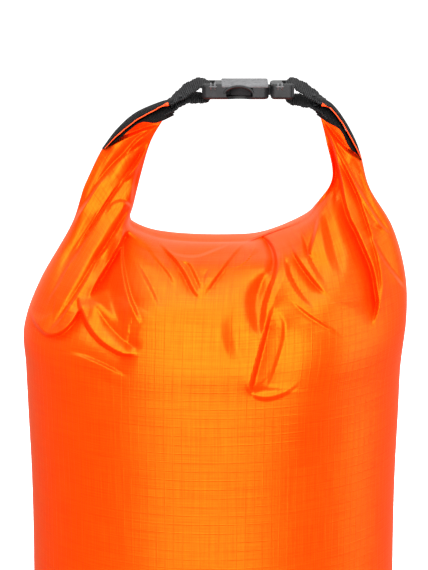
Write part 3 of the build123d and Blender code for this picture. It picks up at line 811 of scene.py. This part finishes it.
def webbing_rings(route, hand, steps):
    """Rings of a flat tape along a route (x, z): ribbed, with a knobbly selvedge."""
    fine = spline(route, np.linspace(0, len(route) - 1, 40 * len(route)))
    run = np.concatenate([[0], np.cumsum(np.linalg.norm(np.diff(fine, axis=0), axis=1))])
    even = np.linspace(0, run[-1], steps)
    line = np.stack([np.interp(even, run, fine[:, 0]), np.interp(even, run, fine[:, 1])], axis=1)
    along = np.gradient(line, axis=0)
    along /= np.linalg.norm(along, axis=1, keepdims=True)
    rings = []
    for (x, z), (ax, az), s in zip(line, along, even):
        rib = 0.5 + 0.5 * math.cos(2 * math.pi * s / WEB_RIB)
        half = WEB_WIDTH / 2 - SELVEDGE_DIP * (1 - rib)
        thick = WEB_THICKNESS / 2 * (1 - RIB_DIP * (1 - rib))
        crinkle = 0.25 * math.sin(s * 0.9) + 0.15 * math.sin(s * 2.3 + 1)
        roll = hand * WEB_ROLL * math.sin(2 * math.pi * s / run[-1])
        ring = []
        for share, lift in WEB_SECTION:
            off = lift * thick + crinkle * share**2 + share * half * math.sin(roll)
            ring.append((x - az * off, share * half * math.cos(roll), z + ax * off))
        rings.append(ring)
    return rings


def make_webbing(side, route, hand):
    mesh = swept(f"{side}_webbing", webbing_rings(route, hand, WEB_STEPS))
    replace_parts(put(mesh, WEBBING_BLACK, f"{side}_arm"), f"{side}_webbing_loop")
    # bar tacks: a zigzag of thread across the two plies, on both faces
    low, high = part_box(f"{side}_bar_tacks")
    centre = np.array((low + high) / 2) / MM
    rows = []
    for lift in (TACK_LIFT, -TACK_LIFT):
        zigzag = []
        for i in range(TACK_STITCHES + 1):
            x = centre[0] + (TACK_SWING if i % 2 else -TACK_SWING)
            zigzag.append((x, TACK_HALF_LENGTH * (2 * i / TACK_STITCHES - 1), centre[2] + lift))
        thread = spline(zigzag, np.linspace(0, TACK_STITCHES, 120))
        rows.append(swept(f"{side}_tack", tube_rings(thread, TACK_RADIUS, 6)))
    tacks = joined(f"{side}_tack_threads", rows)
    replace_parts(put(tacks, THREAD, f"{side}_arm"), f"{side}_bar_tacks")


# ---- details on the buckle ----
# The socket's crowned top: its ends in x, its section (y, z), and how its ends are rounded: the
# last TOP_END mm draw in across the top by a share, and above TOP_EDGE they drop by TOP_DROP
TOP_LEFT = 3.4
TOP_RIGHT = 29.0
TOP_PROFILE = [
    (-13.6, 417.6), (-13.7, 418.5), (-13.3, 419.3), (-12.4, 420.0),
    (4.0, 421.2), (10.0, 420.8), (12.8, 419.4), (12.8, 418.4),
]
TOP_END = 0.5
TOP_DRAW_IN = 0.03
TOP_EDGE = 419.0
TOP_DROP = 0.3
# The raised rim over each prong's window: its middle, half width and height, and how far out it stands
RIM_MIDDLE = (12.9, 413.9)
RIM_SPAN = (8.0, 4.4)
RIM_OUT = 13.5
RIM_RADIUS = 0.75
# The sections of a grip's posts and of its cross bar
GRIP_POST = [(-13.8, 416.4), (-13.8, 419.4), (-12.9, 420.1), (-11.2, 420.3), (-11.2, 419.2)]
GRIP_BAR = [(-13.9, 417.8), (-13.9, 418.5), (-12.5, 418.5), (-12.5, 417.8)]
# Where each grip starts in x, and its parts as (ends in x, section)
GRIP_LEFT = {"socket": -3.4, "plug": 33.2}
GRIP_PARTS = [((0.7, 1.5), GRIP_POST), ((2.9, 3.7), GRIP_POST), ((0.0, 4.4), GRIP_BAR)]


def make_buckle_details():
    """The socket's crowned top, the rims over its windows, and a grip on the socket and on the plug."""
    rings = []
    for x, end in ((TOP_LEFT, 1), (TOP_LEFT + TOP_END, 0), (TOP_RIGHT - TOP_END, 0), (TOP_RIGHT, 1)):
        share, drop = 1 - end * TOP_DRAW_IN, end * TOP_DROP
        rings.append([(x, y * share, z - drop * (z > TOP_EDGE)) for y, z in TOP_PROFILE])
    # the crowned top takes the lighter grey of the painted highlight
    put(swept("socket_top", rings), BUCKLE_PAINTED_HIGHLIGHT, "socket")
    turns = np.radians(np.linspace(8, 172, 40))
    across = RIM_MIDDLE[0] + RIM_SPAN[0] * np.cos(turns)
    up = RIM_MIDDLE[1] + RIM_SPAN[1] * np.sin(turns)
    for name, out in (("front_rim", -RIM_OUT), ("rear_rim", RIM_OUT)):
        arch = np.stack([across, np.full(len(turns), out), up], axis=1)
        put(swept(name, tube_rings(arch, RIM_RADIUS, 10)), BUCKLE, "socket")
    for body, left in GRIP_LEFT.items():
        parts = []
        for ends, section in GRIP_PARTS:
            parts.append(swept("grip", [[(left + x, y, z) for y, z in section] for x in ends]))
        # the grips take the lighter grey of the painted highlight too
        put(joined(f"{body}_grips", parts), BUCKLE_PAINTED_HIGHLIGHT, body)


# ---- the seams and the base ----
# The floor's rings, as (radius, height), and the height of its middle
FLOOR_RINGS = [(25.0, 0.8), (50.0, 0.7), (75.0, 0.4), (92.0, 0.1), (100.6, 0.6)]
FLOOR_MIDDLE = 0.9
FLOOR_TURNS = 96
SEAM_LOW = 3.5
SEAM_HIGH = 11.5
SEAM_TURNS = 240
STITCH_COUNT = 216
# A stitch's start and end, as shares of its pitch, and its radius from end to end
STITCH_SHARE = (0.14, 0.86)
STITCH_RADII = (0.08, 0.24, 0.26, 0.24, 0.08)
# Sealing tape: how far inside the skin it ends, its thickness, half its width, and its ends
TAPE_INSIDE = 1.6
TAPE_THICKNESS = 0.4
TAPE_HALF = 10.0
TAPE_LOW = 14.0
TAPE_HIGH = 262.0


def profile_radius(z):
    heights, radii = zip(*PROFILE)
    return np.interp(z, heights, radii)


def ring_band(name, section, turns):
    """A band round the bag's axis with the given section, as (distance from the axis, height)."""
    rings = []
    for a in np.linspace(0, 2 * math.pi, turns + 1):
        rings.append([(FOOT_SHIFT + r * math.cos(a), r * math.sin(a), z) for r, z in section])
    return swept(name, rings, cap=False)


def stitch_ring(name, radius, height):
    """A round of separate stitches, each a short rounded thread lying on the fabric."""
    pieces = []
    around = np.arange(6) / 6 * 2 * math.pi
    for k in range(STITCH_COUNT):
        a0, a1 = (2 * math.pi * (k + share) / STITCH_COUNT for share in STITCH_SHARE)
        rings = []
        for a, r in zip(np.linspace(a0, a1, len(STITCH_RADII)), STITCH_RADII):
            out = radius + r * np.cos(around)
            up = height + r * np.sin(around)
            rings.append([(FOOT_SHIFT + o * math.cos(a), o * math.sin(a), z) for o, z in zip(out, up)])
        pieces.append(swept(name, rings))
    return joined(name, pieces)


def make_floor():
    """The floor of the bag: a disc of the same fabric, sagging between the seam and the middle."""
    disc = bmesh.new()
    turns = np.arange(FLOOR_TURNS) / FLOOR_TURNS * 2 * math.pi
    loops = []
    for r, z in FLOOR_RINGS:
        places = [((FOOT_SHIFT + r * math.cos(a)) * MM, r * math.sin(a) * MM, z * MM) for a in turns]
        loops.append([disc.verts.new(place) for place in places])
    centre = disc.verts.new((FOOT_SHIFT * MM, 0, FLOOR_MIDDLE * MM))
    for i in range(FLOOR_TURNS):
        j = (i + 1) % FLOOR_TURNS
        disc.faces.new((centre, loops[0][j], loops[0][i]))
        for inner, outer in zip(loops, loops[1:]):
            disc.faces.new((inner[i], inner[j], outer[j], outer[i]))
    layer = disc.loops.layers.uv.new("fabric")
    for face in disc.faces:
        face.smooth = True
        for corner in face.loops:
            corner[layer].uv = (corner.vert.co.x / MM, corner.vert.co.y / MM)
    mesh = bpy.data.meshes.new("base_fabric")
    disc.to_mesh(mesh)
    disc.free()
    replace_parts(put(mesh, RIPSTOP, "bag"), "base_panel")


def make_seams():
    # the seam allowance turned up round the foot, and its stitches
    low, high = profile_radius(SEAM_LOW), profile_radius(SEAM_HIGH)
    section = [
        (low + 0.05, SEAM_LOW), (low + 0.55, SEAM_LOW + 0.3),
        (high + 0.55, SEAM_HIGH - 0.3), (high + 0.05, SEAM_HIGH),
    ]
    put(ring_band("foot_seam", section, SEAM_TURNS), RIPSTOP, "bag")
    stitches = stitch_ring("foot_stitches", (low + high) / 2 + 0.6, (SEAM_LOW + SEAM_HIGH) / 2 + 2.0)
    put(stitches, STITCH_ORANGE, "bag")

    # sealing tape inside: round the foot, and up the side seam at the back
    outer, inner = TAPE_INSIDE - TAPE_THICKNESS, TAPE_INSIDE
    section = [
        (low - inner, SEAM_LOW), (low - outer, SEAM_LOW),
        (high - outer, SEAM_HIGH + 2), (high - inner, SEAM_HIGH + 2),
    ]
    tape = ring_band("foot_tape", section, SEAM_TURNS)
    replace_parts(put(tape, TAPE_PALE, "bag"), "base_seam_tape")
    rings = []
    for z in np.linspace(TAPE_LOW, TAPE_HIGH, 80):
        r = profile_radius(z) - TAPE_INSIDE
        arc = np.arcsin(np.linspace(-TAPE_HALF, TAPE_HALF, 9) / r)
        ring = []
        for radius, angles in ((r + TAPE_THICKNESS, arc), (r, arc[::-1])):
            ring += [(FOOT_SHIFT + radius * math.sin(a), radius * math.cos(a), z) for a in angles]
        rings.append(ring)
    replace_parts(put(swept("side_tape", rings), TAPE_PALE, "bag"), "side_seam_tape")


# ---- CAD pieces that keep their shape ----
def finish_cad(names, material):
    for name in names:
        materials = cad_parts[name].data.materials
        materials.clear()
        materials.append(material)


# ---- stage ----
STAGE_RADIUS = 50.0


def glow_material(name, strength):
    m, shader, _ = new_material(name)
    shader.inputs["Base Color"].default_value = (0.8, 0.8, 0.8, 1)
    shader.inputs["Roughness"].default_value = 0.9
    shader.inputs["Emission Color"].default_value = (1, 1, 1, 1)
    shader.inputs["Emission Strength"].default_value = strength
    return m


def ramp(tree, value, start, end, low, high):
    """From low to high while the value goes from start to end."""
    n = node(tree, "ShaderNodeMapRange", Value=value)
    for key, number in (("From Min", start), ("From Max", end), ("To Min", low), ("To Max", high)):
        n.inputs[key].default_value = number
    return n.outputs["Result"]


def floor_material():
    """A pale floor that turns into plain white light well away from the bag."""
    m = glow_material("floor", 1.0)
    tree = m.node_tree
    length = tree.nodes.new("ShaderNodeVectorMath")
    length.operation = "LENGTH"
    tree.links.new(node(tree, "ShaderNodeTexCoord").outputs["Object"], length.inputs[0])
    glow = ramp(tree, length.outputs["Value"], 0.12, 0.7, 0.25, 1.0)
    tree.links.new(glow, tree.nodes["Principled BSDF"].inputs["Emission Strength"])
    return m


def stage_piece(name, mesh, material):
    """A piece of the white studio: the camera sees it, and it throws no light on the bag."""
    mesh.materials.append(material)
    obj = bpy.data.objects.new(name, mesh)
    bpy.context.scene.collection.objects.link(obj)
    obj.visible_diffuse = False
    obj.visible_glossy = False
    obj.visible_shadow = False


def make_stage():
    floor = bpy.data.meshes.new("floor")
    s = STAGE_RADIUS
    floor.from_pydata([(-s, -s, 0), (s, -s, 0), (s, s, 0), (-s, s, 0)], [], [(0, 1, 2, 3)])
    stage_piece("floor", floor, floor_material())
    shell = bmesh.new()
    bmesh.ops.create_icosphere(shell, subdivisions=3, radius=STAGE_RADIUS)
    backdrop = bpy.data.meshes.new("backdrop")
    shell.to_mesh(backdrop)
    shell.free()
    stage_piece("backdrop", backdrop, glow_material("backdrop", 1.0))
    make_world()


def make_world():
    """Studio light all round, brighter behind the bag than in front of it."""
    world = bpy.data.worlds.new("studio")
    world.use_nodes = True
    tree = world.node_tree
    tree.nodes["Background"].inputs["Color"].default_value = (1, 1, 1, 1)
    direction = node(tree, "ShaderNodeTexCoord").outputs["Generated"]
    parts = node(tree, "ShaderNodeSeparateXYZ", Vector=direction)
    strength = ramp(tree, parts.outputs["Y"], -0.1, 0.9, AMBIENT_FRONT, AMBIENT_BACK)
    tree.links.new(strength, tree.nodes["Background"].inputs["Strength"])
    bpy.context.scene.world = world


# The strength of the light from all round, in front of the bag and behind it
AMBIENT_FRONT = 0.1
AMBIENT_BACK = 0.62
# Area lights: name, place, target, size and watts
LIGHTS = [
    ("key", (-0.08, -1.5, 0.6), (0, 0, 0.3), (2.55, 2.2), 110),
    ("side", (1.6, 0.15, 0.45), (0, 0, 0.3), (0.7, 1.6), 16),
    ("top", (0.0, -0.05, 1.75), (0, 0, 0.3), (3.0, 2.3), 105),
    ("rear", (0.0, 1.7, 0.6), (0, 0, 0.35), (2.6, 1.2), 5),
]


def aimed(name, data, place, target):
    """A light or a camera at a place, turned to a target."""
    obj = bpy.data.objects.new(name, data)
    obj.location = place
    obj.rotation_mode = "QUATERNION"
    obj.rotation_quaternion = (Vector(target) - Vector(place)).to_track_quat("-Z", "Y")
    bpy.context.scene.collection.objects.link(obj)
    return obj


def area_light(name, place, target, size, watts):
    light = bpy.data.lights.new(name, "AREA")
    light.shape = "RECTANGLE"
    light.size, light.size_y = size
    light.energy = watts
    aimed(name, light, place, target).visible_camera = False


def make_camera():
    data = bpy.data.cameras.new("camera")
    data.sensor_width = 36.0
    data.lens = data.sensor_width * CAMERA_DISTANCE / FRAME_HEIGHT
    data.clip_start, data.clip_end = 0.05, 100
    bpy.context.scene.camera = aimed("camera", data, CAMERA_PLACE * MM, TARGET * MM)


RIPSTOP = ripstop_material()
# Name, dark colour, light colour, roughness, scale of the grain and depth of the grain
HEM_ORANGE = grained_material("hem_orange", (0.62, 0.04, 0.004), (0.9, 0.075, 0.009), 0.6, 2600, 0.0002)
THREAD = grained_material("black_thread", (0.003, 0.003, 0.0035), (0.012, 0.012, 0.013), 0.6, 3200, 0.0003)
STITCH_ORANGE = grained_material("orange_thread", (0.6, 0.05, 0.005), (0.95, 0.14, 0.018), 0.5, 3200, 0.0003)
TAPE_PALE = grained_material("seam_tape_pale", (0.52, 0.5, 0.46), (0.7, 0.68, 0.64), 0.35, 900, 0.0001)
BUCKLE = grained_material("buckle_plastic", (0.002, 0.002, 0.0022), (0.014, 0.014, 0.015), 0.4, 1800, 0.0002)
# The buckle's top faces and grips: the lighter grey is a painted highlight, standing for the top light's
# reflection on them
BUCKLE_PAINTED_HIGHLIGHT = grained_material("buckle_top_painted_highlight", (0.045, 0.045, 0.047), (0.1, 0.1, 0.103), 0.6, 1800, 0.0002)
PRONG = grained_material("buckle_prong", (0.002, 0.002, 0.0022), (0.01, 0.01, 0.011), 0.85, 1800, 0.0002)
# Name, pitch of the ribs, dark colour and light colour
STRIP_BLACK = woven_black_material("strip_black", 0.9, (0.001, 0.001, 0.0012), (0.016, 0.015, 0.015))
WEBBING_BLACK = woven_black_material("webbing_black", WEB_RIB, (0.001, 0.001, 0.0012), (0.03, 0.03, 0.031))

make_stage()
for light in LIGHTS:
    area_light(*light)
make_skin()
make_strips("left", LEFT_OUTER_TOP, LEFT_HEM_LINE, LEFT_INNER_EDGE)
make_strips("right", RIGHT_OUTER_TOP, RIGHT_HEM_LINE, RIGHT_INNER_EDGE)
make_webbing("left", LEFT_LOOP, 1)
make_webbing("right", RIGHT_LOOP, -1)
make_cores()
make_floor()
make_seams()
finish_cad(("buckle_socket", "buckle_plug"), BUCKLE)
finish_cad(("front_prong", "rear_prong"), PRONG)
make_buckle_details()
make_camera()
bpy.context.scene.view_settings.view_transform = "Standard"
